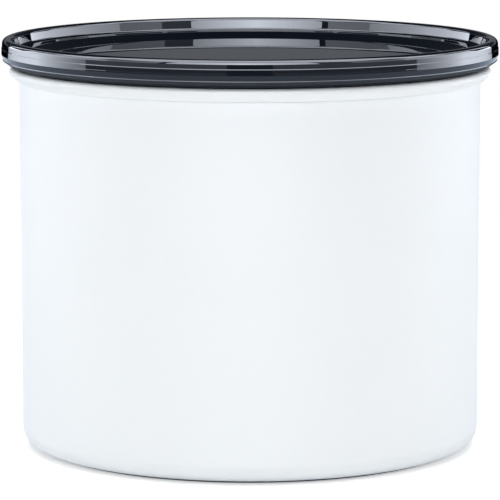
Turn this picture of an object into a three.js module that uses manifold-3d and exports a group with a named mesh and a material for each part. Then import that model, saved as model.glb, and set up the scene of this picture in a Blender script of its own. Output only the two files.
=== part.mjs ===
// A round steel food canister with a lift-off smoked lid and a press-down inner lid.
// The inner lid carries a folding handle whose cam opens an air valve as the handle stands up.
// Millimetres, +Z up. The origin is the middle of the base, on the surface it stands on.
import * as THREE from 'three';
import { mergeVertices } from 'three/addons/utils/BufferGeometryUtils.js';
import Module from 'manifold-3d';

const wasm = await Module();
wasm.setup();

// Clearances
const seatGap = 0.3; // between a piece and what it rests on or wraps
const pinGap = 0.2; // radial play of a pin in its hole
const plugGap = 0.95; // the top lid's plug drops loosely into the mouth
const wiperGap = 0.3; // gasket lips to the steel wall
const flangeGap = 1.55; // rim of the inner lid to the steel wall
const handleHeadroom = 2.85; // standing handle to the underside of the closed top lid

// Canister shell: drawn steel sheet with a rolled bead at the mouth
const overallHeight = 105; // surface to the crest of the top lid
const bodyRadius = 58.85;
const wallThickness = 0.7;
const floorThickness = 0.8;
const baseCornerRadius = 4.6;
const footRingWidth = 0.35; // flat of steel between the base corner and the pad's recess
const beadReach = 2.65; // how far the bead stands out from the wall
const beadFaceHeight = 1.55; // upright side of the bead
const beadTaperRise = 2.05; // height of the slanted underside of the bead
const beadRound = 1.3;
const mouthRound = 1.4;
const taperRound = 1.2;

// Base pad
const padThickness = 1.1;
const padProud = 0.6; // how far the pad stands below the steel
const padTreadWidth = 9.5;
const padRelief = 0.35;

// Top lid
const lidBrow = 2; // how far the lid's band stands out past the bead
const lidRimWidth = 3;
const lidRimDepth = 4.7; // crest down to the moat inside the rim
const lidWallDepth = 3; // crest down to the foot of the rim's inner wall
const lidWallDraft = 0.57; // how far that wall leans in at its foot
const lidDishReach = 3.2; // foot of the wall in to the moat's level, along the dish
const lidThickness = 2.3;
const lidPanelInset = 17.1; // inner wall of the rim to the edge of the centre panel
const lidPanelRise = 0.85; // centre panel above the moat
const lidPanelSlope = 0.7;
const lidFaceRise = 1.45; // height of the lower face of the band
const lidFaceDraft = 0.3; // how far that face draws in at its lower edge
const lidUndercutRise = 1.15; // height of the slanted underside of the band
const lidLipReach = 0.25; // foot of the undercut, measured out from the bead's outside
const lidLipRise = 0.5; // foot of the undercut above the lid's seat
const lidSeatInset = 1.1; // edge of the lid's seat, measured in from the bead's outside
const crestOuterRound = 1.25;
const crestInnerRound = 1;
const wallFootRound = 0.35;
const dishRound = 13;
const plugDepth = 5;
const plugThickness = 1.6;

// Inner lid plate
const plateThickness = 2.2;
const trayLipHeight = 1.5;
const trayLipWidth = 1.6;
const gasketDepth = 3.1; // rim of the plate in to the gasket's seat on the skirt
const skirtThickness = 2.2;
const skirtDepth = 9.3;
const ribCount = 8;
const ribThickness = 1.4;
const ribDepth = 4;
const ribBury = 0.5; // how far a rib runs into the plate, cup and skirt

// Gasket and the cover that traps it
const gasketSetback = 0.7; // back of the gasket, measured in from the plate's rim
const wiperCount = 2;
const wiperThickness = 1.1;
const wiperRise = 1.6;
const coverThickness = 2;
const coverHoleGap = 2.4; // edge of the seal to the hole that the valve breathes through
const spigotThickness = 1.6;
const spigotHeight = 3.3;

// Handle, lugs and pins
const handleReach = 26; // pivot to the far side of the bail
const handleHalfWidth = 29; // middle of one leg to the centre line
const handleCornerRadius = 15;
const rodRadius = 3;
const pivotRise = 5.5; // pivot above the plate's top
const lugThickness = 4;
const lugRadius = 4.2;
const lugBury = 1; // how far a lug runs down into the plate
const pinRadius = 1.5;
const pinDepth = 6; // how far a pin reaches into the end of the bar
const pinHeadRadius = 2.6;
const pinHeadThickness = 1;

// Air valve
const valveTravel = 2;
const handleSwing = Math.PI / 2;
const camBase = 3.6; // pivot to the cam's face when the handle is folded
const camHalfWidth = 4.5;
const stemRadius = 2;
const stemHeadRadius = 6.5;
const stemHeadThickness = 1.7;
const cupGap = 0.7; // round the stem's head, where the air passes
const cupWall = 1.6;
const cupDepth = 8.5;
const cupFloor = 1.6;
const guideWall = 1.3;
const guideHeight = 1.5;
const ventCount = 5;
const ventRadius = 1.1;
const sealInset = 0.6; // edge of the seal, measured in from the cup's outside
const sealThickness = 1.5;
const discInset = 1.2; // edge of the backing disc, measured in from the seal's
const discThickness = 1;
const clipThickness = 0.8;
const clipWidth = 1.9;
const clipOpening = Math.PI / 3;
const grooveDepth = 0.6;
const stemTipLength = 0.9;
const springWireRadius = 0.45;
const springTurns = 4.5;
const springSideGap = 1.15; // outside of the spring to the cup's wall

// How finely round shapes are cut
const bigRound = 48;
const smallRound = 24;
const pinRound = 16;
const rodRound = 10;
const curlSteps = 8;
const curlSides = 5;
const edgeShare = 0.98; // most of a short edge that the rounds at its ends may take

// Radii that several pieces share
const innerRadius = bodyRadius - wallThickness;
const beadOuter = bodyRadius + beadReach;
const lidRadius = beadOuter + lidBrow;
const flangeRadius = innerRadius - flangeGap;
const skirtOuter = flangeRadius - gasketDepth;
const skirtInner = skirtOuter - skirtThickness;
const cupRadius = stemHeadRadius + cupGap;
const cupOuter = cupRadius + cupWall;
const guideRadius = stemRadius + seatGap;
const guideOuter = guideRadius + guideWall;
const sealRadius = cupOuter - sealInset;

// Levels, from the top lid down to the stem's tip
const lidFloor = overallHeight - lidRimDepth;
const lidSeat = lidFloor - lidThickness;
const lidUnderPanel = lidSeat + lidPanelRise;
const beadTop = lidSeat - seatGap;
const pivotLevel = lidUnderPanel - handleHeadroom - handleReach;
const plateTop = pivotLevel - pivotRise;
const plateUnder = plateTop - plateThickness;
const skirtBottom = plateUnder - skirtDepth;
const coverTop = skirtBottom - seatGap;
const cupFloorTop = plateTop - cupDepth;
const valveSeat = cupFloorTop - cupFloor;
const stemHeadTop = pivotLevel - camBase - seatGap;
const stemHeadUnder = stemHeadTop - stemHeadThickness;
const sealTop = valveSeat - seatGap;
const discTop = sealTop - sealThickness - seatGap;
const grooveTop = discTop - discThickness;
const clipTop = grooveTop - seatGap;
const grooveBottom = clipTop - clipThickness - seatGap;
const recessTop = padThickness + seatGap;
const barHalf = handleHalfWidth + rodRadius;
const lugStart = barHalf + seatGap;
const lugEnd = lugStart + lugThickness;

// Finishes, read from the photograph where it shows them
const whiteCoat = { color: 0xf0f3f7, roughness: 0.5, metalness: 0 };
const smokedPlastic = { color: 0x191c23, roughness: 0.08, metalness: 0 };
const darkRubber = { color: 0x33363b, roughness: 0.85, metalness: 0 };
const blackPlastic = { color: 0x1d1f22, roughness: 0.55, metalness: 0 };
const greySilicone = { color: 0x8d9196, roughness: 0.7, metalness: 0 };
const steel = { color: 0xb9bcc0, roughness: 0.3, metalness: 1 };

// Rounds the corners of an outline. A corner is [r, z], or [r, z, radius, steps] where it is rounded.
// A closed outline wraps round; an open one keeps its two ends. Two rounds on a short edge share it.
function rounded(corners, closed) {
  const count = corners.length;
  const spots = corners.map(([r, z]) => new THREE.Vector2(r, z));
  const edges = spots.map((spot, i) => spots[(i + 1) % count].clone().sub(spot));
  const turns = edges.map((edge, i) => {
    const before = edges[(i + count - 1) % count];
    return Math.atan2(before.cross(edge), before.dot(edge));
  });
  const wanted = corners.map(([, , radius = 0], i) => {
    const isEnd = !closed && (i === 0 || i === count - 1);
    return isEnd ? 0 : radius * Math.tan(Math.abs(turns[i]) / 2);
  });
  const fits = edges.map((edge, i) => {
    const both = wanted[i] + wanted[(i + 1) % count];
    return both === 0 ? 1 : Math.min(1, (edgeShare * edge.length()) / both);
  });
  return corners.flatMap(([, , , steps = 3], i) => {
    if (wanted[i] === 0) return [spots[i]];
    const last = (i + count - 1) % count;
    const reach = wanted[i] * Math.min(fits[i], fits[last]);
    const radius = reach / Math.tan(turns[i] / 2); // below zero where the outline turns clockwise
    const along = edges[last].clone().normalize();
    const start = spots[i].clone().addScaledVector(along, -reach);
    const centre = start.clone().add(new THREE.Vector2(-along.y, along.x).multiplyScalar(radius));
    const turnTo = (k) => start.clone().rotateAround(centre, (turns[i] * k) / steps);
    return Array.from({ length: steps + 1 }, (_, k) => turnTo(k));
  });
}

// A solid of revolution about Z. The outline runs anticlockwise with r to the right and z up.
function revolve(corners, segments, closed = false) {
  const outline = rounded(corners, closed);
  if (closed) outline.push(outline[0].clone());
  return new THREE.LatheGeometry(outline, segments).rotateX(Math.PI / 2);
}

// Joins and cuts: a geometry becomes a solid, and the result comes back as a geometry.
function solid(geometry) {
  const bare = geometry.clone();
  bare.deleteAttribute('normal');
  bare.deleteAttribute('uv');
  const merged = mergeVertices(bare, 1e-4);
  const index = Array.from(merged.index.array);
  const kept = [];
  for (let i = 0; i < index.length; i += 3) {
    const [a, b, c] = index.slice(i, i + 3);
    if (a !== b && b !== c && c !== a) kept.push(a, b, c);
  }
  const vertProperties = new Float32Array(merged.attributes.position.array);
  const mesh = new wasm.Mesh({ numProp: 3, vertProperties, triVerts: new Uint32Array(kept) });
  return new wasm.Manifold(mesh);
}

function toGeometry(body) {
  const { vertProperties, triVerts } = body.getMesh();
  const geometry = new THREE.BufferGeometry();
  geometry.setAttribute('position', new THREE.BufferAttribute(new Float32Array(vertProperties), 3));
  geometry.setIndex(new THREE.BufferAttribute(new Uint32Array(triVerts), 1));
  return geometry;
}

function union(...geometries) {
  return toGeometry(geometries.map(solid).reduce((sum, next) => sum.add(next)));
}

function cut(geometry, ...tools) {
  return toGeometry(tools.map(solid).reduce((rest, tool) => rest.subtract(tool), solid(geometry)));
}

// A round bar along X between two places.
function barAlongX(radius, from, to, segments) {
  const bar = new THREE.CylinderGeometry(radius, radius, to - from, segments).rotateZ(Math.PI / 2);
  return bar.translate((from + to) / 2, 0, 0);
}

// A flat shape drawn with Y across and Z up, thickened along X from one place to another.
function plateAlongX(points, from, to) {
  const shape = new THREE.Shape(points);
  const plate = new THREE.ExtrudeGeometry(shape, { depth: to - from, bevelEnabled: false });
  const turn = new THREE.Matrix4().makeBasis(
    new THREE.Vector3(0, 1, 0),
    new THREE.Vector3(0, 0, 1),
    new THREE.Vector3(1, 0, 0),
  );
  return plate.applyMatrix4(turn).translate(from, 0, 0);
}

// Canister shell: one sheet from the floor up the wall, rolled outwards and down into the bead.
function canisterShell() {
  const edge = bodyRadius + seatGap;
  const beadFoot = beadTop - beadFaceHeight - beadTaperRise;
  const slope = beadTaperRise / (beadOuter - edge);
  const taperLift = wallThickness * Math.hypot(1, slope);
  const rollOuter = beadOuter - wallThickness;
  const rollTop = beadTop - wallThickness;
  const rollCorner = beadFoot + slope * (rollOuter - edge) + taperLift;
  return revolve([
    [0, recessTop],
    [bodyRadius - baseCornerRadius - footRingWidth, recessTop],
    [bodyRadius - baseCornerRadius - footRingWidth, padProud],
    [bodyRadius, padProud, baseCornerRadius, 4],
    [bodyRadius, rollTop, mouthRound - wallThickness, 2],
    [rollOuter, rollTop, beadRound - wallThickness, 2],
    [rollOuter, rollCorner, taperRound - wallThickness, 1],
    [edge, beadFoot + taperLift],
    [edge, beadFoot],
    [beadOuter, beadFoot + beadTaperRise, taperRound, 2],
    [beadOuter, beadTop, beadRound, 4],
    [innerRadius, beadTop, mouthRound, 3],
    [innerRadius, recessTop + floorThickness, baseCornerRadius - wallThickness, 3],
    [0, recessTop + floorThickness],
  ], bigRound);
}

// Base pad: a disc let into the base, with a tread ring that meets the surface.
function basePad() {
  const padRadius = bodyRadius - baseCornerRadius - footRingWidth - seatGap;
  const treadInner = padRadius - padTreadWidth;
  return revolve([
    [0, padRelief],
    [treadInner - padRelief, padRelief],
    [treadInner, 0],
    [padRadius, 0],
    [padRadius, padThickness],
    [0, padThickness],
  ], bigRound);
}

// Top lid: plug ring below, undercut band outside, rounded crest, and a panel in a dished moat.
function topLid() {
  const plugOuter = innerRadius - plugGap;
  const plugInner = plugOuter - plugThickness;
  const plugBottom = lidSeat - plugDepth;
  const rimInner = lidRadius - lidRimWidth;
  const wallFoot = rimInner - lidWallDraft;
  const panelRadius = rimInner - lidPanelInset;
  const panelFoot = panelRadius + lidPanelSlope;
  const seatOuter = beadOuter - lidSeatInset;
  const lipLevel = lidSeat + lidLipRise;
  const edgeLevel = lipLevel + lidUndercutRise;
  return revolve([
    [0, lidUnderPanel],
    [panelRadius, lidUnderPanel],
    [panelFoot, lidSeat],
    [plugInner, lidSeat],
    [plugInner, plugBottom],
    [plugOuter, plugBottom],
    [plugOuter, lidSeat],
    [seatOuter, lidSeat],
    [seatOuter, lipLevel],
    [beadOuter + lidLipReach, lipLevel],
    [lidRadius - lidFaceDraft, edgeLevel],
    [lidRadius, edgeLevel + lidFaceRise],
    [lidRadius, overallHeight, crestOuterRound, 4],
    [rimInner, overallHeight, crestInnerRound, 4],
    [wallFoot, overallHeight - lidWallDepth, wallFootRound, 2],
    [wallFoot - lidDishReach, lidFloor, dishRound, 4],
    [panelFoot, lidFloor],
    [panelRadius, lidFloor + lidPanelRise],
    [0, lidFloor + lidPanelRise],
  ], bigRound);
}

// Inner lid plate: a revolved tray with a skirt and a valve cup, two handle lugs, ribs and vents.
function innerLidPlate() {
  const tray = revolve([
    [guideRadius, valveSeat],
    [cupOuter, valveSeat],
    [cupOuter, plateUnder],
    [skirtInner, plateUnder],
    [skirtInner, skirtBottom],
    [skirtOuter, skirtBottom],
    [skirtOuter, plateUnder],
    [flangeRadius, plateUnder],
    [flangeRadius, plateTop + trayLipHeight, trayLipWidth / 3, 2],
    [flangeRadius - trayLipWidth, plateTop + trayLipHeight, trayLipWidth / 3, 2],
    [flangeRadius - trayLipWidth, plateTop, trayLipHeight / 2, 2],
    [cupRadius, plateTop],
    [cupRadius, cupFloorTop],
    [guideOuter, cupFloorTop],
    [guideOuter, cupFloorTop + guideHeight],
    [guideRadius, cupFloorTop + guideHeight],
  ], bigRound, true);
  const vents = [];
  for (let i = 0; i < ventCount; i += 1) {
    const angle = (2 * Math.PI * i) / ventCount;
    const across = (guideOuter + cupRadius) / 2;
    const vent = new THREE.CylinderGeometry(ventRadius, ventRadius, 2 * cupFloor, pinRound / 2);
    vent.rotateX(Math.PI / 2);
    vent.translate(across * Math.cos(angle), across * Math.sin(angle), cupFloorTop - cupFloor / 2);
    vents.push(vent);
  }
  const ribs = [];
  for (let i = 0; i < ribCount; i += 1) {
    ribs.push(plateRib().rotateZ((2 * Math.PI * (i + 0.5)) / ribCount));
  }
  return union(cut(tray, ...vents), ...ribs, handleLug(1), handleLug(-1));
}

// One radial rib under the plate, deep at the cup and shallow at the skirt.
function plateRib() {
  const inner = cupOuter - ribBury;
  const outer = skirtInner + ribBury;
  const rib = plateAlongX([
    new THREE.Vector2(inner, plateUnder + ribBury),
    new THREE.Vector2(inner, plateUnder - ribDepth),
    new THREE.Vector2(outer, plateUnder - ribDepth / 2),
    new THREE.Vector2(outer, plateUnder + ribBury),
  ], -ribThickness / 2, ribThickness / 2);
  return rib;
}

// One lug: straight sides, a round top about the pivot, and a hole for the pin.
function handleLug(side) {
  const top = new THREE.EllipseCurve(0, pivotLevel, lugRadius, lugRadius, 0, Math.PI);
  const outline = [
    new THREE.Vector2(-lugRadius, plateTop - lugBury),
    new THREE.Vector2(lugRadius, plateTop - lugBury),
    ...top.getPoints(pinRound / 2),
  ];
  const lug = plateAlongX(outline, lugStart, lugEnd);
  const hole = barAlongX(pinRadius + pinGap, lugStart - seatGap, lugEnd + seatGap, pinRound);
  const drilled = cut(lug, hole.translate(0, 0, pivotLevel));
  return side > 0 ? drilled : drilled.rotateZ(Math.PI);
}

// Gasket: a ring behind the wipers, each a lip that leans up and out to the wall.
function wiperGasket() {
  const inner = skirtOuter + seatGap;
  const back = flangeRadius - gasketSetback;
  const bottom = coverTop + seatGap;
  const top = plateUnder - seatGap;
  const tip = innerRadius - wiperGap;
  const pitch = (top - bottom) / wiperCount;
  const outline = [[inner, bottom], [back, bottom]];
  for (let i = 0; i < wiperCount; i += 1) {
    const root = bottom + pitch * (i + 0.2);
    outline.push(
      [back, root],
      [tip, root + wiperRise, wiperThickness / 4, 2],
      [tip, root + wiperRise + wiperThickness / 2, wiperThickness / 4, 2],
      [back, root + wiperThickness, wiperThickness / 2, 2],
    );
  }
  outline.push([back, top], [inner, top]);
  return revolve(outline, bigRound, true);
}

// Lower cover: a flat disc that closes the inner lid and traps the gasket. Its spigot snaps into the
// skirt, and the hole in its middle clears the valve.
function innerLidCover() {
  const spigotOuter = skirtInner - seatGap;
  const spigotInner = spigotOuter - spigotThickness;
  const hole = sealRadius + coverHoleGap;
  return revolve([
    [hole, coverTop - coverThickness],
    [flangeRadius, coverTop - coverThickness, coverThickness / 3, 2],
    [flangeRadius, coverTop],
    [spigotOuter, coverTop],
    [spigotOuter, coverTop + spigotHeight],
    [spigotInner, coverTop + spigotHeight],
    [spigotInner, coverTop],
    [hole, coverTop],
  ], bigRound, true);
}

// Cam outline in Y and Z about the pivot, at rest. Its distance to a flat face grows evenly as the
// handle turns, so the curve is the involute of a circle whose radius is the travel per radian.
function camOutline() {
  const rate = valveTravel / handleSwing;
  const outline = [];
  for (let k = 0; k <= curlSteps; k += 1) {
    const turn = (handleSwing * k) / curlSteps;
    const reach = camBase + rate * turn;
    outline.push(new THREE.Vector2(
      reach * Math.sin(turn) + rate * Math.cos(turn),
      -reach * Math.cos(turn) + rate * Math.sin(turn),
    ));
  }
  outline.push(new THREE.Vector2(0, rodRadius), new THREE.Vector2(0, -rodRadius));
  return outline;
}

// Handle: a U-shaped rod on a bar, with the cam in the middle of the bar and a pin hole in each end.
// It is drawn folded flat towards -Y.
function bailHandle() {
  const far = handleReach - rodRadius;
  const turnIn = handleHalfWidth - handleCornerRadius;
  const turnOut = far - handleCornerRadius;
  const route = new THREE.CurvePath();
  const corner = (side) => {
    const start = side < 0 ? Math.PI : -Math.PI / 2;
    const arc = new THREE.EllipseCurve(
      side * turnIn, -turnOut, handleCornerRadius, handleCornerRadius, start, start + Math.PI / 2,
    );
    const lifted = arc.getPoints(curlSteps).map((p) => new THREE.Vector3(p.x, p.y, 0));
    return new THREE.CatmullRomCurve3(lifted);
  };
  const line = (x0, y0, x1, y1) => new THREE.LineCurve3(
    new THREE.Vector3(x0, y0, 0),
    new THREE.Vector3(x1, y1, 0),
  );
  route.add(line(-handleHalfWidth, 0, -handleHalfWidth, -turnOut));
  route.add(corner(-1));
  route.add(line(-turnIn, -far, turnIn, -far));
  route.add(corner(1));
  route.add(line(handleHalfWidth, -turnOut, handleHalfWidth, 0));
  const section = new THREE.Shape(new THREE.EllipseCurve(0, 0, rodRadius, rodRadius).getPoints(rodRound));
  const steps = Math.round(route.getLength() / rodRadius);
  const bail = new THREE.ExtrudeGeometry(section, { steps, extrudePath: route, bevelEnabled: false });
  const bar = barAlongX(rodRadius, -barHalf, barHalf, pinRound);
  const cam = plateAlongX(camOutline(), -camHalfWidth, camHalfWidth);
  const hole = (side) => {
    const from = side > 0 ? barHalf - pinDepth - seatGap : -barHalf - seatGap;
    return barAlongX(pinRadius + pinGap, from, from + pinDepth + 2 * seatGap, pinRound);
  };
  return cut(union(bail, bar, cam), hole(1), hole(-1)).translate(0, 0, pivotLevel);
}

// Headed pin, drawn upright and laid along X: the head lies outside its lug.
function handlePin(side) {
  const head = lugEnd + seatGap;
  const pin = revolve([
    [0, barHalf - pinDepth],
    [pinRadius, barHalf - pinDepth],
    [pinRadius, head],
    [pinHeadRadius, head],
    [pinHeadRadius, head + pinHeadThickness, pinHeadThickness / 2, 2],
    [0, head + pinHeadThickness],
  ], pinRound);
  return pin.rotateY((side * Math.PI) / 2).translate(0, 0, pivotLevel);
}

// Valve stem: flat head, round stem and a groove for the clip above the tip.
function valveStem() {
  return revolve([
    [0, grooveBottom - stemTipLength],
    [stemRadius, grooveBottom - stemTipLength, stemTipLength / 2, 2],
    [stemRadius, grooveBottom],
    [stemRadius - grooveDepth, grooveBottom],
    [stemRadius - grooveDepth, grooveTop],
    [stemRadius, grooveTop],
    [stemRadius, stemHeadUnder],
    [stemHeadRadius, stemHeadUnder],
    [stemHeadRadius, stemHeadTop, stemHeadThickness / 3, 2],
    [0, stemHeadTop],
  ], smallRound);
}

// A washer round the stem.
function washer(outer, top, thickness) {
  return revolve([
    [guideRadius, top - thickness],
    [outer, top - thickness],
    [outer, top],
    [guideRadius, top],
  ], smallRound, true);
}

// Clip: a flat ring in the groove, open towards +Y.
function stemClip() {
  const inner = stemRadius - grooveDepth + seatGap;
  const outer = inner + clipWidth;
  const start = Math.PI / 2 + clipOpening / 2;
  const end = start + 2 * Math.PI - clipOpening;
  const ring = new THREE.Shape();
  ring.absarc(0, 0, outer, start, end, false);
  ring.absarc(0, 0, inner, end, start, true);
  const options = { depth: clipThickness, bevelEnabled: false, curveSegments: smallRound };
  return new THREE.ExtrudeGeometry(ring, options).translate(0, 0, clipTop - clipThickness);
}

// The spring's centre line: a plain helix that climbs from the cup's floor to the stem's head.
class Helix extends THREE.Curve {
  constructor(radius, bottom, top, turns) {
    super();
    Object.assign(this, { radius, bottom, top, turns });
  }

  getPoint(t, target = new THREE.Vector3()) {
    const angle = 2 * Math.PI * this.turns * t;
    const height = this.bottom + (this.top - this.bottom) * t;
    return target.set(this.radius * Math.cos(angle), this.radius * Math.sin(angle), height);
  }
}

function valveSpring() {
  const bottom = cupFloorTop + seatGap + springWireRadius;
  const top = stemHeadUnder - seatGap - springWireRadius;
  const helix = new Helix(cupRadius - springSideGap - springWireRadius, bottom, top, springTurns);
  const steps = Math.round(springTurns * curlSteps);
  console.log(`valve_spring: least gap between turns ${leastGap(helix, steps).toFixed(2)} mm`);
  const circle = new THREE.EllipseCurve(0, 0, springWireRadius, springWireRadius);
  const wire = new THREE.Shape(circle.getPoints(curlSides));
  return new THREE.ExtrudeGeometry(wire, { steps, extrudePath: helix, bevelEnabled: false });
}

// Least distance between points of the helix that lie half a turn or more apart, less the wire.
function leastGap(helix, steps) {
  const points = helix.getPoints(steps);
  let least = Infinity;
  points.forEach((point, i) => {
    points.slice(i + curlSteps / 2).forEach((other) => {
      least = Math.min(least, point.distanceTo(other));
    });
  });
  return least - 2 * springWireRadius;
}

function piece(name, geometry, finish) {
  const mesh = new THREE.Mesh(geometry, new THREE.MeshStandardMaterial(finish));
  mesh.name = name;
  return mesh;
}

const canister = new THREE.Group();
canister.add(
  piece('canister_shell', canisterShell(), whiteCoat),
  piece('base_pad', basePad(), darkRubber),
  piece('top_lid', topLid(), smokedPlastic),
);

const innerLid = new THREE.Group();
innerLid.add(
  piece('inner_lid_plate', innerLidPlate(), blackPlastic),
  piece('wiper_gasket', wiperGasket(), greySilicone),
  piece('inner_lid_cover', innerLidCover(), blackPlastic),
  piece('bail_handle', bailHandle(), blackPlastic),
  piece('handle_pin_right', handlePin(1), steel),
  piece('handle_pin_left', handlePin(-1), steel),
);

const airValve = new THREE.Group();
airValve.add(
  piece('valve_stem', valveStem(), blackPlastic),
  piece('valve_spring', valveSpring(), steel),
  piece('valve_seal', washer(sealRadius, sealTop, sealThickness), greySilicone),
  piece('valve_backing_disc', washer(sealRadius - discInset, discTop, discThickness), steel),
  piece('stem_clip', stemClip(), steel),
);
innerLid.add(airValve);
canister.add(innerLid);

export default canister;
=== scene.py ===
import math

import bpy
import numpy as np
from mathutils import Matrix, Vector


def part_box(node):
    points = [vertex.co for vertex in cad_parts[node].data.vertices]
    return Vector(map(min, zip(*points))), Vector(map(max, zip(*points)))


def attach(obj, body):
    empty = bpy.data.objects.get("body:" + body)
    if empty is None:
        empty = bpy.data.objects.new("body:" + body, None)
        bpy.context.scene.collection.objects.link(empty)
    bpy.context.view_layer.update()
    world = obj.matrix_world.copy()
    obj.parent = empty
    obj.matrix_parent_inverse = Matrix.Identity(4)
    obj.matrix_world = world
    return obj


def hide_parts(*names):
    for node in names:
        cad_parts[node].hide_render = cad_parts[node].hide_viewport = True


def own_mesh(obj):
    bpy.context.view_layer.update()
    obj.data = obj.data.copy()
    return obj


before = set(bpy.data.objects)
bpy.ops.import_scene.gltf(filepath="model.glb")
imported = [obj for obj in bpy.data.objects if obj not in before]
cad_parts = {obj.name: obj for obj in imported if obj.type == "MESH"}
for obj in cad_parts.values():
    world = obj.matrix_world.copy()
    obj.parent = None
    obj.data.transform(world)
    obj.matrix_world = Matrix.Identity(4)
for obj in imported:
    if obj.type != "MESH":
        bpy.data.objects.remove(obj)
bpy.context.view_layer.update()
print("frame:", len(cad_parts), "nodes")

mm = 0.001  # outlines are drawn in millimetres, meshes are in metres
turn = 2 * math.pi


# Outer radius, lowest and highest level of a round node, in millimetres.
def reach(node):
    low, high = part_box(node)
    return high.x / mm, low.z / mm, high.z / mm


# Rounds the corners of an outline drawn anticlockwise as (across, up, radius); a corner without a radius
# gets a fine edge. An arc touches its two edges at radius * tan(half its turn) from the corner, and two
# arcs on a short edge share it. Gives points and unit normals that face out of the outline.
def roundOutline(corners, closed=False, steps=8, fineEdge=0.08, edgeShare=0.98):
    rows = np.array([(*corner, fineEdge)[:3] for corner in corners])
    spot, radius = rows[:, :2], rows[:, 2]
    if not closed:
        radius[[0, -1]] = 0
    edge = np.roll(spot, -1, axis=0) - spot
    length = np.linalg.norm(edge, axis=1)
    ahead = edge / length[:, None]
    before = np.roll(ahead, 1, axis=0)
    bend = np.arctan2(before[:, 0] * ahead[:, 1] - before[:, 1] * ahead[:, 0], (before * ahead).sum(1))
    halfTurn = np.tan(np.abs(bend) / 2)
    wanted = radius * halfTurn
    fit = np.minimum(1, edgeShare * length / np.maximum(wanted + np.roll(wanted, -1), 1e-9))
    cut = wanted * np.minimum(fit, np.roll(fit, 1))
    arc = np.sign(bend) * cut / halfTurn  # below zero where the outline turns clockwise
    start = spot - before * cut[:, None]
    outward = np.stack([before[:, 1], -before[:, 0]], axis=-1)
    centre = start - outward * arc[:, None]
    angle = bend[:, None] * np.linspace(0, 1, steps + 1)
    normals = np.stack([
        outward[:, :1] * np.cos(angle) - outward[:, 1:] * np.sin(angle),
        outward[:, :1] * np.sin(angle) + outward[:, 1:] * np.cos(angle),
    ], axis=-1)
    points = centre[:, None] + normals * arc[:, None, None]
    if closed:
        return points.reshape(-1, 2), normals.reshape(-1, 2)
    side = np.array([[ahead[0, 1], -ahead[0, 0]], [before[-1, 1], -before[-1, 0]]])
    points = np.concatenate([spot[:1], points[1:-1].reshape(-1, 2), spot[-1:]])
    normals = np.concatenate([side[:1], normals[1:-1].reshape(-1, 2), side[1:]])
    return points, normals


# Puts points (metres) and faces into a new object; normals, where given, are one for each point.
def makePiece(name, points, faces, normals=None):
    mesh = bpy.data.meshes.new(name)
    mesh.from_pydata(points.tolist(), [], faces)
    mesh.shade_smooth()
    if normals is not None:
        mesh.normals_split_custom_set_from_vertices(normals.tolist())
    piece = bpy.data.objects.new(name, mesh)
    bpy.context.scene.collection.objects.link(piece)
    return piece


# Turns an outline about Z: a point is (r cos a, r sin a, z). A point on the axis becomes one pole.
def lathe(name, outline, closed=False, segments=256):
    angle = np.linspace(0, turn, segments, endpoint=False)
    around = np.stack([np.cos(angle), np.sin(angle)], axis=-1)
    points, normals = (
        np.concatenate([
            pair[:, None, :1] * around,
            np.broadcast_to(pair[:, None, 1:], (len(pair), segments, 1)),
        ], axis=-1)
        for pair in outline
    )
    onAxis = outline[0][:, 0] < 1e-6
    size = np.where(onAxis, 1, segments)
    step = np.arange(segments)
    index = (np.cumsum(size) - size)[:, None] + np.where(onAxis[:, None], 0, step)
    kept = ~onAxis[:, None] | (step == 0)
    rows = np.arange(len(index))
    lower = index if closed else index[:-1]
    upper = index[(rows + 1) % len(index)] if closed else index[1:]
    quads = np.stack([lower, np.roll(lower, -1, 1), np.roll(upper, -1, 1), upper], axis=-1).reshape(-1, 4)
    lowPole = quads[:, 0] == quads[:, 1]
    highPole = quads[:, 2] == quads[:, 3]
    faces = quads[~(lowPole | highPole)].tolist()
    faces += quads[lowPole][:, 1:].tolist() + quads[highPole][:, :3].tolist()
    return makePiece(name, points[kept] * mm, faces, normals[kept])


# Carries a closed section (across, up) along a path: a point is path + across * side + up * rise.
# Sections is one section for every point of the path; flat caps close the ends.
def sweep(name, sections, path, side, rise):
    points = path[:, None] + sections[..., :1] * side[:, None] + sections[..., 1:] * rise[:, None]
    count, ring = points.shape[:2]
    index = np.arange(count * ring).reshape(count, ring)
    here, there = index[:-1], index[1:]
    quads = np.stack([here, np.roll(here, -1, 1), np.roll(there, -1, 1), there], axis=-1).reshape(-1, 4)
    faces = quads.tolist() + [index[0, ::-1].tolist(), index[-1].tolist()]
    return makePiece(name, points.reshape(-1, 3) * mm, faces)


# A plain round bar along X, for drilling.
def barAlongX(name, radius, start, end, level, sides=48):
    angle = np.linspace(0, turn, sides, endpoint=False)
    section = radius * np.stack([np.cos(angle), np.sin(angle)], axis=-1)
    path = np.array([[start, 0, level], [end, 0, level]], float)
    side = np.tile([0.0, 1, 0], (2, 1))
    rise = np.tile([0.0, 0, 1], (2, 1))
    return sweep(name, np.stack([section, section]), path, side, rise)


# Replaces a piece's mesh by what its modifiers make of it.
def applyModifiers(piece):
    shown = piece.evaluated_get(bpy.context.evaluated_depsgraph_get())
    mesh = bpy.data.meshes.new_from_object(shown)
    piece.modifiers.clear()
    piece.data = mesh


# Joins tools to a piece, or cuts them from it, and removes them.
def combine(piece, operation, tools):
    for tool in tools:
        step = piece.modifiers.new("combine", "BOOLEAN")
        step.operation = operation
        step.solver = "EXACT"
        step.object = tool
    applyModifiers(piece)
    for tool in tools:
        bpy.data.objects.remove(tool)


# Smooth faces with crisp edges past the angle, and flats that stay flat.
def cleanShading(piece, angle=40):
    piece.data.shade_smooth()
    piece.data.set_sharp_from_angle(angle=math.radians(angle))
    weigh = piece.modifiers.new("flatFaces", "WEIGHTED_NORMAL")
    weigh.keep_sharp = True


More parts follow.
